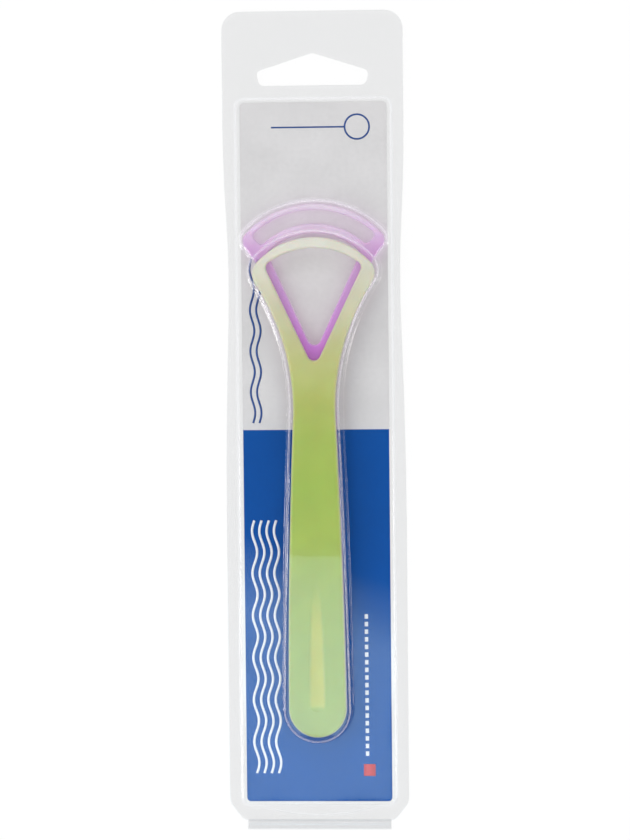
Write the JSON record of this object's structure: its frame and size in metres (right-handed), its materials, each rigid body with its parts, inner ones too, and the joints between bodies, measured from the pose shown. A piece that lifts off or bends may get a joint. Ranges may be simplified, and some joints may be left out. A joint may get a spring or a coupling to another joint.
{
  "type": "tongue scraper pack",
  "caption": "Nested one-blade and two-blade tongue scrapers in a clear hanging clamshell pack with a printed card and a folding foot hinge.",
  "frame": {"origin": "centre of the outline on the plane of the back face, with the pack lying on its back", "axes": "+X across to the right as in the picture, +Y along the pack towards the hang hole, +Z out of the card towards the viewer"},
  "size_m": [0.0516, 0.2344, 0.0113],
  "materials": {
    "clear_sheet": "clear gloss formed sheet",
    "printed_card": "coated printed cardboard, pale above and blue below",
    "purple_plastic": "translucent purple moulding",
    "green_plastic": "translucent yellow-green moulding"
  },
  "bodies": {
    "back": {"back_shell": "clear_sheet", "card_insert": "printed_card", "living_hinge": "clear_sheet"},
    "lid": {"front_shell": "clear_sheet"},
    "rear_tool": {"rear_scraper": "purple_plastic"},
    "front_tool": {"front_scraper": "green_plastic"}
  },
  "joints": [
    {"name": "lid_hinge", "type": "hinge", "parent": "back", "child": "lid", "pos_m": [0, -0.1157, 0.00168], "axis": [1, 0, 0], "range_deg": [0, 160], "deforming": ["living_hinge"]},
    {"name": "rear_play", "type": "slide", "parent": "back", "child": "rear_tool", "axis": [0, 1, 0], "range_m": [0, 0.0006]},
    {"name": "front_play", "type": "slide", "parent": "back", "child": "front_tool", "axis": [0, 1, 0], "range_m": [0, 0.0008]}
  ]
}
